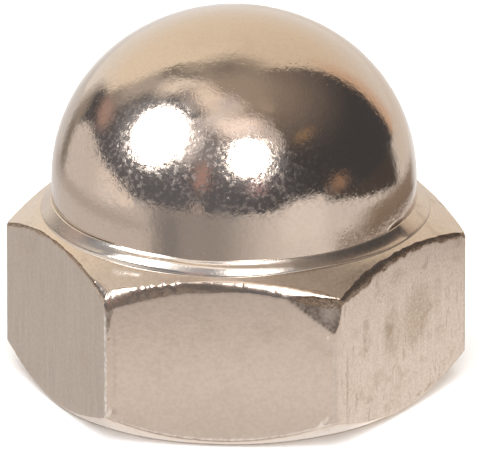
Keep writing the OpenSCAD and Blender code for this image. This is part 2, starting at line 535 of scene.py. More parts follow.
# dirt and rubbed places on the flats, the rubbed ones partly painted highlights: flat, along it from
# its middle, height, half width, half height, sideways tilt, strength
wearSettings = {
    "grime": [
        (1, 0.07, 1.80, 0.06, 0.3, -0.05, 0.7), (1, -2.41, 1.2, 0.06, 0.32, 0.03, 0.75),
        (1, -2.86, 1.8, 0.07, 1.2, 0.0, 0.6), (1, 1.35, 1.29, 0.55, 0.03, 0.12, 0.35),
        (1, 0.75, 2.75, 0.9, 1.1, 0.1, 0.55), (1, -0.45, 2.5, 0.7, 0.9, 0.1, 0.3),
        (1, -0.3, 4.2, 0.45, 0.3, 0.0, 0.3), (1, -1.27, 1.5, 0.45, 0.3, 0.2, 0.3),
        (1, -0.3, 0.9, 0.4, 0.2, 0.1, 0.25), (1, 1.8, 3.0, 0.3, 0.8, 0.0, 0.25),
        (1, 0.86, 0.36, 0.16, 0.07, 0.3, 0.7), (1, 1.41, 0.42, 0.12, 0.06, 0.3, 0.7),
        (1, 0.1, 2.35, 0.12, 0.6, 0.1, 0.25), (1, 1.9, 2.0, 0.3, 0.5, 0.0, 0.15),
        (0, -2.98, 1.0, 0.1, 0.1, 0.0, 0.35), (0, -3.0, 3.0, 0.03, 0.5, 0.0, 0.25),
        (0, -3.12, 3.15, 0.06, 0.02, 0.2, 0.7), (0, 3.0, 0.9, 0.04, 0.3, 0.0, 0.25),
        (0, -2.96, 2.2, 0.06, 1.2, 0.0, 0.15), (0, 1.2, 3.6, 0.6, 0.25, 0.1, 0.08),
        (0, -1.6, 2.4, 0.5, 0.6, 0.2, 0.07),
    ],
    # painted highlights and glints, partly rubbed metal
    "rub": [(0, 2.88, 0.77, 0.1, 0.3, 0.87, 1.0), (0, -3.13, 0.95, 0.1, 0.2, 0.2, 1.0),
            (0, 3.08, 3.35, 0.06, 0.08, 0.0, 1.0)],
    "rubGrain": (0.05, 0.55, 0.45),     # cell, mean and spread of the strength of the rubbing and painted highlights
    "wedge": {"flat": 0, "from": 3.2, "to": 4.1, "width": 0.24, "ragged": 0.03, "strength": 0.8},
    # painted highlights, partly rubbed metal, up the corners after the front and the left flat
    "rubbedCorners": {0: (0.2, 0.0, 3.4), 5: (1.0, 0.55, 3.95)},    # strength, from and to height
    "dirtyCorners": {1: (0.6, 0.9, 4.4)},
    # a dark line along the flats' feet with a pale one above it, a painted highlight, and the rings that
    # carry them
    "bottomLine": ((0.6, 0.8, 0.7, 0.4, 0.0), (0.0, 0.0, 0.1, 0.5), 0, 0, 0, (0.1, 0.0, 0.0, 0.5)),
    "bottomHighlight": ((0.4, 0.8, 1.0, 0.8, 1.0), (0.3, 0.0, 0.0), 0, 0, 0, (0.0, 0.0, 0.2)),
    "bottomRows": (0.01, 0.02),
    "footGap": 0.02,       # how far above the chamfer the first ring of the flats lies
    # where the plating on the crown is dull
    "chatter": {"side": -12, "halfWide": 55, "height": 7.6, "halfHigh": 1.3},
}
# marks carried on the points: dirt and painted shade, rubbing and painted highlights, dull plating, polish
# and painted sheen
markNames = ("grime", "rub", "chatter", "shine")


def softPick(values, at):
    # the value at a place between listed ones, with a soft passage from each to the next
    low = np.floor(at).astype(int)
    f = soft(at - low)
    return values[low % len(values)] * (1 - f) + values[(low + 1) % len(values)] * f


def throughKnots(knots, t):
    # smooth curve through evenly spaced values, one curve for each point
    last = len(knots) - 1
    at = np.clip(t, 0, 1) * last * np.ones(knots.shape[1])
    low = np.minimum(at.astype(int), last - 1)
    f = at - low
    point = np.arange(knots.shape[1])
    slopes = np.gradient(knots, axis=0)
    a, b = knots[low, point], knots[low + 1, point]
    p, q = slopes[low, point], slopes[low + 1, point]
    return a + f * (p + f * (3 * (b - a) - 2 * p - q + f * (2 * (a - b) + p + q)))


def spin(r, z, angles):
    # a ring of a turned surface
    return np.stack(np.broadcast_arrays(r * np.cos(angles), r * np.sin(angles), z), -1)


def evenAngles(count):
    return np.arange(count) / count * 2 * math.pi


def fromFront(angles):
    # degrees from the front, -180 to 180
    return (np.degrees(angles) + 270) % 360 - 180


def arcPoints(centre, radius, start, end, steps):
    a = np.radians(np.linspace(start, end, steps + 1))
    return [(centre[0] + radius * math.cos(t), centre[1] + radius * math.sin(t)) for t in a]


def bend(a, b, c, t):
    # point on the curve from a to c that is pulled towards b
    return (1 - t) ** 2 * a + 2 * t * (1 - t) * b + t * t * c


class Outline:
    # one turn of the flats and corners, starting on the front flat's left end; every point has
    # its flat and its share of it, from 0 to 1 on the flat and up to 2 round the corner after it
    def __init__(self, s, m):
        self.rng = np.random.default_rng(m["seed"])
        radius = s["flatRadius"] - m["recess"]
        even = np.linspace(0, 1, m["flatColumns"])
        onFlat = 0.62 * even + 0.38 * step(even, 0, 1)      # closer together near the corners
        onCorner = np.arange(1, m["cornerSteps"]) / m["cornerSteps"]
        points, flats, shares = [], [], []
        for k, rounded in enumerate(s["cornerRounds"]):
            facing = math.radians(-90 + 60 * k)
            out = np.array([math.cos(facing), math.sin(facing)])
            side = np.array([-math.sin(facing), math.cos(facing)])
            before = (radius - s["cornerRounds"][k - 1]) * math.tan(math.radians(30))
            after = (radius - rounded) * math.tan(math.radians(30))
            points.append(out * radius + (-before + (before + after) * onFlat)[:, None] * side)
            centre = out * (radius - rounded) + side * after
            turned = facing + np.radians(60 * onCorner)
            points.append(centre + rounded * np.stack([np.cos(turned), np.sin(turned)], -1))
            flats += [k] * (len(onFlat) + len(onCorner))
            shares += [*onFlat, *(1 + onCorner)]
        points = np.vstack(points)
        self.flat = np.array(flats)
        self.share = np.array(shares)
        self.angles = np.arctan2(points[:, 1], points[:, 0])
        self.reach = np.hypot(points[:, 0], points[:, 1])
        steps = np.linalg.norm(np.roll(points, -1, axis=0) - points, axis=1)
        self.travelled = np.concatenate([[0], np.cumsum(steps)[:-1]])
        self.length = steps.sum()
        self.along = (np.clip(self.share, 0, 1) - 0.5) * self.length / 6
        self.side = fromFront(self.angles)

    def noise(self, cell, shift=0.0):
        # random line, smooth and closed after one turn
        count = max(4, round(self.length / cell))
        values = self.rng.uniform(-1, 1, count)
        return softPick(values, ((self.travelled + shift) / self.length * count) % count)

    def around(self, values):
        # values listed at equal steps of one turn
        turn = (np.degrees(self.angles) + 90) / 360
        return softPick(np.asarray(values, float), (turn % 1.0) * len(values))

    def bySide(self, table):
        return np.interp(self.side, *table)

    def byFlat(self, table):
        # values given at even steps along each flat, carried smoothly round the corners
        rows = [np.atleast_1d(np.asarray(row, float)) for row in table]
        corner = step(self.share, 1, 2)
        value = np.zeros(len(self.flat))
        for number, row in enumerate(rows):
            if len(row) == 1:
                here = row[0]
            else:
                at = np.clip(self.share, 0, 1) * (len(row) - 1)
                low = np.minimum(at.astype(int), len(row) - 2)
                f = step(at - low, 0, 1)
                here = row[low] * (1 - f) + row[low + 1] * f
            here = here * (1 - corner) + rows[(number + 1) % 6][0] * corner
            value = np.where(self.flat == number, here, value)
        return value

    def rollEdge(self, s, edge):
        # where shoulder and flats would meet in a sharp edge, and the rolled edge that replaces it
        cell = edge["raggedCell"]
        self.ragged = sum(strength * self.noise(cell * part) for part, strength in edge["raggedParts"])
        self.fine = self.noise(edge["fineCell"])
        uneven = self.byFlat(edge["ragged"])
        down = np.clip(self.byFlat(edge["down"]) + uneven * self.ragged, edge["leastDown"], None)
        inward = self.byFlat(edge["inward"])
        inward = inward * (1 + edge["raggedInward"] * uneven * np.roll(self.ragged, 9))
        for at, half in edge["lumps"]:
            lump = np.exp(-((self.along - at) / half) ** 2) * (self.flat == 0)
            inward = inward + edge["lumpSize"] * lump
        lean = np.tan(np.radians(self.byFlat(edge["lean"])))
        self.collarR = self.around(s["collarRadius"])
        self.footR = self.collarR + s["collarFoot"]
        slope = math.tan(math.radians(s["shoulderSlope"]))
        self.footZ = s["shoulderHeight"] - (self.footR - s["shoulderRadius"]) * slope
        self.rimZ = self.footZ + self.around(edge["rimStep"])
        edgeZ = s["shoulderHeight"] - (self.reach - s["shoulderRadius"]) * slope
        edgeZ = edgeZ + self.byFlat(edge["lift"])
        room = self.reach - self.footR
        fall = (self.footZ - edgeZ) / room
        setback = np.clip(down * lean / (1 - fall * lean), 0, 0.92 * room)
        self.ridgeR = self.reach - setback
        self.ridgeZ = edgeZ + setback * fall
        self.startR = np.maximum(self.ridgeR - inward, self.footR + 0.006)
        self.startZ = edgeZ + (self.reach - self.startR) * fall
        self.lowZ = edgeZ - down


class Skin:
    # rings of points and the faces between them, for one closed mesh
    def __init__(self):
        self.points = []
        self.marks = []
        self.faces = []
        self.slots = []
        self.count = 0
        self.last = None

    def ring(self, xyz, **marks):
        first = self.count
        self.points.append(np.asarray(xyz, float))
        columns = [np.broadcast_to(marks.get(name, 0.0), len(xyz)) for name in markNames]
        self.marks.append(np.stack(columns, -1))
        self.count += len(xyz)
        return np.arange(first, self.count)

    def grow(self, xyz, slot, **marks):
        # one more ring, joined to the last one
        ring = self.ring(xyz, **marks)
        join = self.band if len(ring) == len(self.last) else self.zip
        join(self.last, ring, slot)
        self.last = ring

    def band(self, a, b, slot):
        # quads from ring a to ring b, both of one count
        quads = np.stack([a, np.roll(a, -1), np.roll(b, -1), b], -1)
        self.faces += quads.tolist()
        self.slots += [slot] * len(quads) if isinstance(slot, str) else slot

    def sorted(self, ring):
        # the ring from its lowest angle on, and its angles with the first one again a turn later
        xyz = np.vstack(self.points)[ring]
        angles = np.arctan2(xyz[:, 1], xyz[:, 0])
        first = int(np.argmin(angles))
        return np.roll(ring, -first), np.append(np.roll(angles, -first), angles[first] + 2 * math.pi)

    def zip(self, a, b, slot):
        # triangles between two rings of different counts
        a, angleA = self.sorted(a)
        b, angleB = self.sorted(b)
        i = j = 0
        while i < len(a) or j < len(b):
            onA = j >= len(b) or (i < len(a) and angleA[i + 1] <= angleB[j + 1])
            p, q = a[i % len(a)], b[j % len(b)]
            i, j = (i + 1, j) if onA else (i, j + 1)
            third = a[i % len(a)] if onA else b[j % len(b)]
            self.faces.append([int(p), int(third), int(q)])
            self.slots.append(slot)

    def fan(self, ring, tip, slot, outwards=True):
        middle = int(self.ring([tip])[0])
        for p, q in zip(ring.tolist(), np.roll(ring, -1).tolist()):
            self.faces.append([p, q, middle] if outwards else [q, p, middle])
            self.slots.append(slot)


def threadRings(skin, s, m):
    # the helix as a sheet clamped between its run-out and the mouth; returns its top and bottom ring
    count = m["holeColumns"]
    top = s["threadEnd"]
    turns = range(-2, int(top / s["pitch"]) + 3)
    level = np.array([k + u for k in turns for u, d in s["threadForm"]])[::-1]
    depth = np.array([d for k in turns for u, d in s["threadForm"]])[::-1]
    j = np.arange(count + 1)
    angle = j / count * 2 * math.pi
    z = np.clip((level[:, None] + j[None, :] / count) * s["pitch"], 0, top)
    kept = 1 - step(z, s["threadFade"], top)
    r = s["minorRadius"] + (s["majorRadius"] - s["minorRadius"]) * depth[:, None] * kept
    r = np.maximum(r, s["mouthRadius"] - z)
    xyz = np.stack([r * np.cos(angle), r * np.sin(angle), z], -1).reshape(-1, 3)
    keys = np.round(xyz * 1e4).astype(np.int64)
    unused, first, inverse = np.unique(keys, axis=0, return_index=True, return_inverse=True)
    index = skin.ring(xyz[first])[inverse.reshape(-1)].reshape(z.shape)
    for i in range(len(level) - 1):
        for c in range(count):
            corners = [index[i, c], index[i, c + 1], index[i + 1, c + 1], index[i + 1, c]]
            face = [int(v) for n, v in enumerate(corners) if v != corners[n - 1]]
            if len(face) >= 3 and len(set(face)) == len(face):
                skin.faces.append(face)
                skin.slots.append("platedBore")
    return index[0, :count], index[-1, :count]


def addHole(skin, s, m):
    # drill point, wall and thread, down to the mouth
    angles = evenAngles(m["holeColumns"])
    wall = skin.ring(spin(s["minorRadius"], s["drillDepth"], angles))
    skin.fan(wall, (0, 0, s["pointTip"]), "platedBore", outwards=False)
    topRing, skin.last = threadRings(skin, s, m)
    skin.band(wall, topRing, "platedBore")
    skin.grow(spin(s["mouthRadius"] + m["mouthRows"][0], 0.0, angles), "bearingFace")


def addFoot(skin, line, s, m):
    # bearing face and the chamfer below the flats; returns the heights of the chamfer's top
    skin.grow(spin(s["mouthRadius"] + m["mouthRows"][1], 0.0, line.angles), "bearingFace")
    bearingR = line.around(s["bearingRadius"])
    width = line.reach - bearingR
    chamferTop = width * np.tan(np.radians(line.around(s["bearingSlope"])))
    for inset, z in m["bearingRows"]:
        skin.grow(spin(bearingR - inset, z, line.angles), "bearingFace")
    burr = sum(line.noise(cell) * 0.5 for cell in s["burrCells"])
    chamferTop = chamferTop + s["burrHeight"] * np.clip(burr, 0, None)
    for part in m["chamferRows"]:
        skin.grow(spin(bearingR + width * part, chamferTop * part, line.angles), "cutChamfer")
    return chamferTop


def spots(table, line, z):
    # the strongest of the soft oval marks at each point of one level of the flats
    strongest = np.zeros(len(line.flat))
    for number, at, height, halfWide, halfHigh, tilt, strength in table:
        across = line.along - at - tilt * (z - height)
        far = np.hypot(across / halfWide, (z - height) / halfHigh)
        spot = strength * (1 - step(far, 0.4, 1.1)) * (line.flat == number) * (line.share <= 1)
        strongest = np.maximum(strongest, spot)
    return strongest


def cornerMarks(table, line, z):
    # marks that run up the rounded corner after a flat
    strongest = np.zeros(len(line.flat))
    for number, (strength, low, high) in table.items():
        mark = (line.flat == number) * (line.share > 1) * window(z, (low, low + 0.3, high - 0.2, high))
        strongest = np.maximum(strongest, strength * mark)
    return strongest


def wedgeMark(w, line, z):
    # dirt beside a flat's left end, wider towards its top
    onFlat = (line.flat == w["flat"]) * (line.share <= 1)
    start = line.along.min(where=onFlat, initial=9)
    wide = w["width"] * np.clip((z - w["from"]) / (w["to"] - w["from"]), 0, 1) + w["ragged"] * line.fine
    beyond = step(line.along - start - wide, -0.03, 0.02)
    return w["strength"] * onFlat * (1 - beyond) * (z > w["from"])


def addFlats(skin, line, chamferTop, m, edge, wear):
    names = ("frontFlat", "rightFlat", "drawnFlat", "drawnFlat", "drawnFlat", "leftFlat")
    flatSlots = [names[k] for k in line.flat]
    lineTop, rubTop = wear["bottomRows"]
    cell, mean, spread = wear["rubGrain"]
    for part in m["flatRows"]:
        z = chamferTop + (line.lowZ - chamferTop) * part + (wear["footGap"] if part == 0 else 0)
        grime = np.maximum(spots(wear["grime"], line, z), wedgeMark(wear["wedge"], line, z))
        grime = np.maximum(grime, cornerMarks(wear["dirtyCorners"], line, z))
        grime = np.maximum(grime, line.byFlat(wear["bottomLine"]) * (0 < part < lineTop))
        # rubbing and painted highlights: spots, corner lines and the pale line along the feet
        rub = np.maximum(spots(wear["rub"], line, z), cornerMarks(wear["rubbedCorners"], line, z))
        rub = np.maximum(rub, line.byFlat(wear["bottomHighlight"]) * (lineTop < part < rubTop))
        grains = mean + spread * line.noise(cell, 7 * part * line.length)
        slot = flatSlots if part > 0 else "cutChamfer"
        skin.grow(spin(line.reach, z, line.angles), slot, grime=grime, rub=rub * grains)
    # the roll's darkening: partly dirt, partly painted shade
    rollDirtAndShade = line.byFlat(edge["grime"])
    grimeTop = line.byFlat(edge["grimeTop"]) + 0.12 * line.ragged
    for t in m["rollRows"]:
        r = bend(line.reach, line.ridgeR, line.startR, t)
        z = bend(line.lowZ, line.ridgeZ, line.startZ, t)
        grime = rollDirtAndShade * (1 - step(t - grimeTop, -0.15, 0.1))
        skin.grow(spin(r, z, line.angles), "rolledEdge", grime=grime)


def addShoulder(skin, line, m, bead):
    dashes = line.bySide(bead["ridgeSides"]) * (0.6 + 0.4 * line.fine) * bead["ridge"]
    for t in m["shoulderRows"]:
        ridge = dashes * (t == bead["ridgeRow"])
        r = line.startR + (line.footR - line.startR) * t
        z = line.startZ + (line.footZ - line.startZ) * t + ridge
        shoulderDarkening = line.bySide(bead["shoulderDarkening"]) * (1 - step(t, 0.2, 0.8))
        # the turning mark's dashes are painted lighter as a highlight
        skin.grow(spin(r, z, line.angles), "turnedShoulder", grime=shoulderDarkening, rub=bead["ridgeHighlight"] * ridge)


def addCollar(skin, line, s, m, bead):
    # the collar's low step, its rim and the bead up to the crown's foot
    collarR, footZ = line.collarR, line.footZ
    creaseR = s["crownRadius"] + s["crownShift"] * np.cos(line.angles)
    hollow = line.bySide(bead["hollow"])
    knots = np.array([np.interp(line.side, bead["sides"], column) for column in zip(*bead["drops"])])
    creaseTop = s["creaseHeight"] + line.bySide(bead["creaseLift"])
    drop = creaseTop - line.rimZ

    def beadHeight(t):
        # t runs from the crown's foot, 0, to the rim, 1
        convex = creaseTop - drop * throughKnots(knots, t)
        concave = creaseTop - drop * t - bead["dip"] * 4 * t * (1 - t)
        return convex * (1 - hollow) + concave * hollow

    across = collarR - creaseR
    rimTop = np.maximum(beadHeight(1.0), footZ + 0.012)
    lowEnd = np.minimum(s["rimRound"], 0.45 * (rimTop - footZ))
    rimStart = 1 - lowEnd / across
    rows = [(collarR + 0.006, footZ + 0.002), (collarR, footZ + 0.1 * (rimTop - footZ))]
    rows.append((collarR, rimTop - lowEnd))
    for t in m["rimRows"]:
        rows.append((bend(collarR, collarR, creaseR + across * rimStart, t),
                     bend(rimTop - lowEnd, rimTop, beadHeight(rimStart), t)))
    rimEnd = len(rows)
    for t in m["beadRows"]:
        rows.append((creaseR + across * rimStart * t, beadHeight(rimStart * t)))
    beadEnd = len(rows)
    crack = line.bySide(bead["crack"]) * bead["crackWidth"]
    creaseZ = beadHeight(m["beadRows"][-1] * rimStart)
    rows.append((creaseR - crack, creaseZ - 0.4 * crack))
    rows.append((creaseR - crack * 0.6, creaseZ + 0.02))
    # polish with a painted sheen, on the lamps' side
    shine = line.bySide(bead["polishAndSheenSides"])
    for number, (r, z) in enumerate(rows):
        # painted shade: darker in the bead's hollow and in the crease at the crown's foot
        grime = 0.25 * hollow * (rimEnd <= number < beadEnd - 1)
        grime = grime + 0.7 * (crack > 0.5 * bead["crackWidth"]) * (number >= beadEnd)
        skin.grow(spin(r, z, line.angles), "turnedShoulder", grime=grime, shine=shine)
    skin.grow(spin(creaseR, creaseZ + 0.045, line.angles), "polishedCrown")


def addCrown(skin, s, m, dull):
    shift = np.array([s["crownShift"], 0, 0])
    angles = evenAngles(m["crownColumns"])
    skin.grow(spin(s["crownRadius"], s["creaseHeight"] + 0.2, angles) + shift, "polishedCrown")
    sideAngle = math.degrees(math.acos((s["meetRadius"] - s["sideCentre"][0]) / s["sideRadius"]))
    noseCentre = (0, s["height"] - s["noseRadius"])
    noseAngle = math.degrees(math.acos(s["meetRadius"] / s["noseRadius"]))
    rows = [(s["crownRadius"], s["creaseHeight"] + 0.3)]
    rows += arcPoints(s["sideCentre"], s["sideRadius"], 0, sideAngle, m["sideRows"])
    rows += arcPoints(noseCentre, s["noseRadius"], noseAngle, 90, m["noseRows"])[1:-1]
    across = ((fromFront(angles) - dull["side"]) / dull["halfWide"]) ** 2
    for r, z in rows:
        chatter = np.exp(-(across + ((z - dull["height"]) / dull["halfHigh"]) ** 2))
        skin.grow(spin(r, z, angles) + shift, "polishedCrown", chatter=chatter)
    skin.fan(skin.last, shift + np.array([0, 0, s["height"]]), "polishedCrown")


def cutDent(points, marks, d, s):
    # one flat facet knocked off the front flat's top right corner, darkened with painted shade
    start, end = np.array(d["start"]), np.array(d["end"])
    run = (end - start) / np.linalg.norm(end - start)
    normal = np.array([-run[1] * d["slope"], -1.0, run[0] * d["slope"]])
    normal /= np.linalg.norm(normal)
    near = (points[:, 0] > d["near"][0]) & (points[:, 1] < d["near"][1])
    onFacet = np.array([start[0], d["depth"] - s["flatRadius"], start[1]])
    cut = np.clip((points - onFacet) @ normal, 0, None) * near
    points = points - normal * cut[:, None]
    x, z, reach, thinner = d["paler"]
    paler = np.exp(-np.hypot(points[:, 0] - x, points[:, 2] - z) ** 2 / reach ** 2)
    # painted shade on the facet, lighter round one point
    grime = d["grime"] * (1 - thinner * paler) * (cut > d["grimeFrom"])
    marks[:, 0] = np.maximum(marks[:, 0], grime)
    return points, marks


def buildNut():
    skin = Skin()
    line = Outline(nutSizes, meshSettings)
    addHole(skin, nutSizes, meshSettings)
    chamferTop = addFoot(skin, line, nutSizes, meshSettings)
    line.rollEdge(nutSizes, edgeSettings)
    addFlats(skin, line, chamferTop, meshSettings, edgeSettings, wearSettings)
    addShoulder(skin, line, meshSettings, beadSettings)
    addCollar(skin, line, nutSizes, meshSettings, beadSettings)
    addCrown(skin, nutSizes, meshSettings, wearSettings["chatter"])
    points, marks = cutDent(np.vstack(skin.points), np.vstack(skin.marks), dentSettings, nutSizes)
    return points, marks, skin.faces, skin.slots


points, marks, faces, faceSlots = buildNut()
print("nut shape ready:", len(points), "points", len(faces), "faces")

makeFloor(stageSettings)
makeMat(matSettings)
makeTent(stageSettings)
makeLamps(stageSettings)
makeWorld()
print("floor, tent and lamps ready")


def makeGroup(build, inputs, outputs):
    # a node group named after the function that fills it and gives its results in order
    group = bpy.data.node_groups.new(build.__name__, "ShaderNodeTree")
    for side, labels in (("INPUT", inputs), ("OUTPUT", outputs)):
        for label in labels:
            group.interface.new_socket(label, in_out=side, socket_type="NodeSocketFloat")
    given = node(group, "NodeGroupInput").outputs
    results = build(group, *[given[label] for label in inputs])
    node(group, "NodeGroupOutput", dict(zip(outputs, results)))
    return group


def stretched(tree, where, stretch):
    return node(tree, "ShaderNodeVectorMath", {0: where, 1: stretch}, operation="MULTIPLY").outputs[0]


def inMillimetres(tree, size, stretch=(1, 1, 1)):
    # object coordinates counted in steps of so many millimetres
    where = stretched(tree, node(tree, "ShaderNodeTexCoord").outputs["Object"], stretch)
    count = mathNode(tree, "DIVIDE", 1000.0, size)
    return node(tree, "ShaderNodeVectorMath", {0: where, "Scale": count}, operation="SCALE").outputs[0]


def noise(tree, vector, detail=2.0, roughness=0.55, distortion=0.0):
    settings = {"Vector": vector, "Scale": 1.0, "Detail": detail, "Roughness": roughness,
                "Distortion": distortion}
    return node(tree, "ShaderNodeTexNoise", settings).outputs[0]


def drawnLines(tree, spacing):
    # lines left by the draw die, running up the flats
    fine = noise(tree, inMillimetres(tree, spacing, (1, 1, 0.03)), 3.0, 0.6)
    broad = noise(tree, inMillimetres(tree, times(tree, spacing, 3.0), (1, 1, 0.04)), 3.0, 0.6)
    return fine, remap(tree, broad, 0.35, 0.65)


def turningRings(tree, spacing, chatter):
    # fine rings left by the lathe tool
    where = node(tree, "ShaderNodeTexCoord").outputs["Object"]
    flat = stretched(tree, where, (1, 1, 0))
    radius = node(tree, "ShaderNodeVectorMath", {0: flat}, operation="LENGTH").outputs["Value"]
    height = node(tree, "ShaderNodeSeparateXYZ", {0: where}).outputs["Z"]
    wobble = times(tree, noise(tree, inMillimetres(tree, 1.5), 2.0), chatter)
    count = mathNode(tree, "DIVIDE", 1000.0, spacing)
    place = {0: addTo(tree, wobble, radius, count), 1: times(tree, height, count), 2: wobble}
    rings = node(tree, "ShaderNodeCombineXYZ", place).outputs[0]
    return [noise(tree, rings, 2.0, 0.6)]


def nickelStain(tree, size, cover, edge):
    # patches where the plating has yellowed or been handled
    cloud = noise(tree, inMillimetres(tree, size), 4.0, 0.6, 0.4)
    low = addTo(tree, 0.25, mathNode(tree, "SUBTRACT", 1.0, cover), 0.5)
    return [remap(tree, cloud, low, mathNode(tree, "ADD", low, edge))]


def finePits(tree, spacing, share, width):
    # small round pits, each of its own size
    vector = inMillimetres(tree, spacing, (1, 1, 0.8))
    cells = node(tree, "ShaderNodeTexVoronoi", {"Vector": vector, "Scale": 1.0}, feature="F1")
    pick = node(tree, "ShaderNodeSeparateColor", {0: cells.outputs["Color"]}).outputs
    width = times(tree, width, addTo(tree, 0.5, pick[1], 0.8))
    far = mathNode(tree, "DIVIDE", cells.outputs["Distance"], width)
    inside = mathNode(tree, "SUBTRACT", 1.0, far, clamp=True)
    chosen = mathNode(tree, "LESS_THAN", pick[0], share)
    return [times(tree, remap(tree, inside, 0.0, 1.0), chosen)]


def shortScratches(tree, spacing, share):
    # short thin lines, nearly upright
    bent = noise(tree, inMillimetres(tree, spacing, (1, 1, 0.16)), 2.0, 0.5, 0.3)
    off = mathNode(tree, "ABSOLUTE", mathNode(tree, "SUBTRACT", bent, 0.5))
    line = mathNode(tree, "SUBTRACT", 1.0, times(tree, off, 60.0), clamp=True)
    broken = noise(tree, inMillimetres(tree, spacing, (1, 1, 0.6)), 1.0)
    low = mathNode(tree, "SUBTRACT", 0.75, times(tree, share, 0.5))
    return [times(tree, line, remap(tree, broken, low, mathNode(tree, "ADD", low, 0.08)))]


def platingHaze(tree, grain):
    # fine cloudy specks where the plating is dull
    cloud = noise(tree, inMillimetres(tree, grain), 1.0, 0.5, 0.4)
    patchy = noise(tree, inMillimetres(tree, times(tree, grain, 5.0)), 2.0, 0.6)
    return [remap(tree, addTo(tree, cloud, patchy, 0.5), 0.6, 1.02)]


def orangePeel(tree, size, grain):
    # the faint waviness and grain of a buffed and plated surface
    wave = noise(tree, inMillimetres(tree, size), 1.0)
    return wave, noise(tree, inMillimetres(tree, grain), 2.0, 0.6)


groups = {
    "lines": makeGroup(drawnLines, ["Spacing"], ["Height", "Shade"]),
    "rings": makeGroup(turningRings, ["Spacing", "Chatter"], ["Height"]),
    "stain": makeGroup(nickelStain, ["Size", "Cover", "Edge"], ["Mask"]),
    "pits": makeGroup(finePits, ["Spacing", "Share", "Width"], ["Mask"]),
    "scratches": makeGroup(shortScratches, ["Spacing", "Share"], ["Mask"]),
    "haze": makeGroup(platingHaze, ["Grain"], ["Mask"]),
    "peel": makeGroup(orangePeel, ["Size", "Grain"], ["Wave", "Speckle"]),
}


def effect(tree, kind, *values):
    # one of the groups, with its settings in the order of its sockets
    placed = node(tree, "ShaderNodeGroup", dict(enumerate(values)), node_tree=groups[kind])
    return placed.outputs


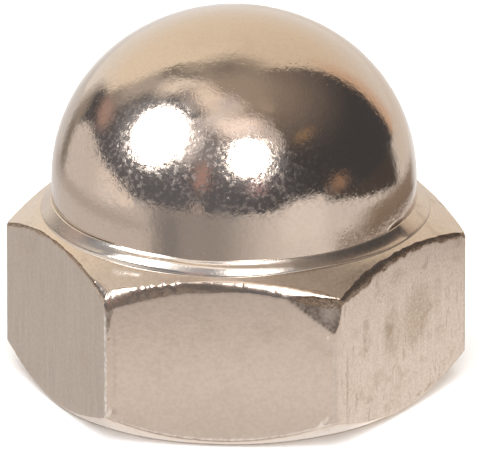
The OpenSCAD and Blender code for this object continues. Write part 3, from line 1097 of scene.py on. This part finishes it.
# per finish: colours, then size, cover and edge of the stain, spacing, share and width of the
# specks and of the small dents, size and grain of the peel; depths in millimetres
plainNickel = {
    "speckTint": (0.3, 0.24, 0.18), "specks": (0.3, 0.3, 0.2), "dents": (0.3, 0.3, 0.3),
    "dentDepth": 0.003, "peel": (0.3, 0.06), "wave": 0.001, "speckle": 0.001,
}
wornNickel = {**plainNickel, "grimeTint": (0.17, 0.13, 0.10), "rubTint": (0.9, 0.8, 0.7)}
wornFlat = {
    **wornNickel, "dents": (0.13, 0.3, 0.3), "dentDepth": 0.002, "peel": (0.3, 0.1), "speckle": 0.003,
}
finishes = {
    "polishedCrown": {
        **plainNickel, "tint": (0.64, 0.525, 0.433), "stainTint": (0.58, 0.46, 0.36),
        "stain": (2.2, 0.45, 0.35), "speckTint": (0.50, 0.40, 0.31), "specks": (0.2, 0.25, 0.2),
        "dents": (0.11, 0.4, 0.42), "dentDepth": 0.0016, "rough": (0.08, 0.12), "peel": (0.4, 0.12),
        "wave": 0.004, "speckle": 0.003, "dust": 0.13, "chatter": 0.002,
        # the haze's grain, its roughness at least and added by the chatter, and how much it shows
        "haze": (0.12, 0.06, 0.15, 0.28), "hazeTint": (0.58, 0.55, 0.54),
    },
    "turnedShoulder": {
        **wornNickel, "tint": (0.72, 0.605, 0.505), "stainTint": (0.595, 0.485, 0.395),
        "stain": (0.7, 0.45, 0.3), "speckTint": (0.30, 0.23, 0.17), "specks": (0.25, 0.15, 0.15),
        "dents": (0.13, 0.3, 0.35), "dentDepth": 0.002, "rough": (0.32, 0.42), "peel": (0.3, 0.09),
        "wave": 0.002, "speckle": 0.002, "dust": 0.16, "rings": (0.05, 0.5), "ringDepth": 0.0006,
        "shineRough": -0.15, "shineTint": (0.86, 0.76, 0.655),
    },
    "rolledEdge": {
        **wornNickel, "tint": (0.66, 0.54, 0.44), "stainTint": (0.46, 0.35, 0.26),
        "stain": (0.5, 0.5, 0.2), "speckTint": (0.2, 0.15, 0.1), "specks": (0.2, 0.25, 0.2),
        "dents": (0.13, 0.5, 0.4), "rough": (0.18, 0.3), "peel": (0.16, 0.05), "wave": 0.004,
        "speckle": 0.0012, "dirtMetal": -0.09, "grimeTint": (0.22, 0.13, 0.07),
    },
    "drawnFlat": {
        **plainNickel, "tint": (0.56, 0.465, 0.39), "stainTint": (0.50, 0.41, 0.33),
        "stain": (1.1, 0.5, 0.3), "specks": (0.22, 0.2, 0.18), "dents": (0.15, 0.3, 0.3),
        "rough": (0.32, 0.44), "speckle": 0.002, "dust": 0.12,
        "lines": 0.05, "lineDepth": 0.0016, "lineShade": 0.12,
    },
    # the flats share one nickel; their tints differ as painted light and shade, the right flat lighter and
    # the left one darker
    "frontFlat": {
        **wornFlat, "tint": (0.63, 0.52, 0.435), "stainTint": (0.565, 0.47, 0.38),
        "stain": (0.9, 0.45, 0.3), "speckTint": (0.42, 0.33, 0.26), "specks": (0.16, 0.16, 0.16),
        "rubTint": (0.95, 0.86, 0.77), "rough": (0.34, 0.44), "dust": 0.22,
    },
    "rightFlat": {
        **wornFlat, "tint": (0.705, 0.595, 0.505), "stainTint": (0.49, 0.385, 0.285),
        "stain": (0.6, 0.46, 0.32), "speckTint": (0.26, 0.2, 0.15), "specks": (0.13, 0.3, 0.2),
        "dents": (0.15, 0.4, 0.35), "dentDepth": 0.004, "rubTint": (0.8, 0.71, 0.62),
        "rough": (0.34, 0.46), "peel": (0.3, 0.07), "dust": 0.23,
        "lines": 0.05, "lineDepth": 0.001, "lineShade": 0.07,
        "scratches": (0.3, 0.5), "scratchDepth": 0.003, "grimeTint": (0.34, 0.235, 0.15),
    },
    "leftFlat": {
        **wornFlat, "tint": (0.60, 0.50, 0.42), "stainTint": (0.565, 0.465, 0.38),
        "stain": (1.3, 0.45, 0.3), "speckTint": (0.33, 0.26, 0.21), "specks": (0.22, 0.12, 0.16),
        "rubTint": (0.95, 0.88, 0.8), "rough": (0.32, 0.42), "dust": 0.20,
        "lines": 0.035, "lineDepth": 0.0018, "lineShade": 0.18,
    },
    "cutChamfer": {
        **plainNickel, "tint": (0.82, 0.68, 0.56), "stainTint": (0.62, 0.49, 0.385),
        "stain": (0.5, 0.45, 0.25), "specks": (0.3, 0.2, 0.2), "dents": (0.2, 0.3, 0.3),
        "rough": (0.26, 0.36), "wave": 0.002, "rings": (0.05, 0.5), "ringDepth": 0.001,
    },
    "bearingFace": {
        **plainNickel, "tint": (0.66, 0.56, 0.46), "stainTint": (0.45, 0.36, 0.27),
        "stain": (1.8, 0.5, 0.3), "speckTint": (0.25, 0.2, 0.15), "specks": (0.35, 0.3, 0.2),
        "rough": (0.28, 0.42), "peel": (0.5, 0.06), "rings": (0.09, 0.6), "ringDepth": 0.003,
    },
    "platedBore": {
        **plainNickel, "tint": (0.58, 0.49, 0.40), "stainTint": (0.36, 0.28, 0.2),
        "stain": (0.9, 0.5, 0.3), "speckTint": (0.2, 0.16, 0.12), "rough": (0.22, 0.4), "wave": 0.003,
    },
}


def nickelFinish(name, look):
    material, tree = newMaterial(name)

    def tinted(colour, mask, tint):
        return mixColour(tree, mask, colour, (*look[tint], 1.0))

    def marked(label):
        return node(tree, "ShaderNodeAttribute", attribute_name=label).outputs["Fac"]

    stain = effect(tree, "stain", *look["stain"])["Mask"]
    specks = effect(tree, "pits", *look["specks"])["Mask"]
    dents = effect(tree, "pits", *look["dents"])["Mask"]
    peel = effect(tree, "peel", *look["peel"])
    colour = tinted((*look["tint"], 1.0), stain, "stainTint")
    height = times(tree, peel["Wave"], look["wave"])
    height = addTo(tree, height, peel["Speckle"], look["speckle"])
    height = addTo(tree, height, dents, -look["dentDepth"])
    if "chatter" in look:
        chatter = marked("chatter")
        height = addTo(tree, height, peel["Speckle"], times(tree, chatter, look["chatter"]))
    if "dust" in look:
        dust = remap(tree, peel["Speckle"], 0.35, 0.65)
        colour = tinted(colour, times(tree, dust, look["dust"]), "speckTint")
    if "lines" in look:
        lines = effect(tree, "lines", look["lines"])
        height = addTo(tree, height, lines["Height"], look["lineDepth"])
        colour = tinted(colour, times(tree, lines["Shade"], look["lineShade"]), "speckTint")
    if "rings" in look:
        rings = effect(tree, "rings", *look["rings"])["Height"]
        height = addTo(tree, height, rings, look["ringDepth"])
    if "scratches" in look:
        scratches = effect(tree, "scratches", *look["scratches"])["Mask"]
        height = addTo(tree, height, scratches, -look["scratchDepth"])
        colour = tinted(colour, times(tree, scratches, 0.5), "speckTint")
    colour = tinted(colour, times(tree, specks, 0.7), "speckTint")
    rough = remap(tree, stain, 0.0, 1.0, *look["rough"], curve="LINEAR")
    if "haze" in look:
        grain, least, more, shown = look["haze"]
        haze = times(tree, effect(tree, "haze", grain)["Mask"], addTo(tree, least, chatter, more))
        rough = mathNode(tree, "ADD", haze, rough)
        colour = tinted(colour, times(tree, haze, shown / (least + more)), "hazeTint")
    # painted sheen: lighter and smoother where the collar is polished
    if "shineRough" in look:
        shine = marked("shine")
        rough = addTo(tree, rough, shine, look["shineRough"])
        colour = tinted(colour, shine, "shineTint")
    metal = 1.0
    # dirt with painted shade, and rubbing with painted highlights, from the point marks
    if "rubTint" in look:
        grime, rub = marked("grime"), marked("rub")
        patchy = remap(tree, peel["Speckle"], 0.3, 0.7, 0.5, 1.0)
        colour = tinted(colour, times(tree, grime, patchy), "grimeTint")
        colour = tinted(colour, rub, "rubTint")
        rough = addTo(tree, rough, rub, -0.12)
        if "dirtMetal" in look:
            metal = addTo(tree, 1.0, grime, look["dirtMetal"])
    relief = node(tree, "ShaderNodeBump", {"Strength": 1.0, "Distance": mm, "Height": height})
    showShader(tree, "ShaderNodeBsdfPrincipled",
               {"Base Color": colour, "Metallic": metal, "Roughness": rough, "Normal": relief.outputs[0]})
    return material


def makeCapNut():
    mesh = bpy.data.meshes.new("capNut")
    mesh.from_pydata((points * mm).tolist(), [], faces)
    names = list(finishes)
    for name in names:
        mesh.materials.append(nickelFinish(name, finishes[name]))
    mesh.polygons.foreach_set("material_index", [names.index(slot) for slot in faceSlots])
    for column, label in enumerate(markNames):
        mesh.attributes.new(label, "FLOAT", "POINT").data.foreach_set("value", marks[:, column])
    mesh.shade_smooth()
    mesh.validate()
    nut = bpy.data.objects.new("capNut", mesh)
    bpy.context.scene.collection.objects.link(nut)
    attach(nut, "root")
    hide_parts("cap_nut")


makeCapNut()
print("cap nut ready")
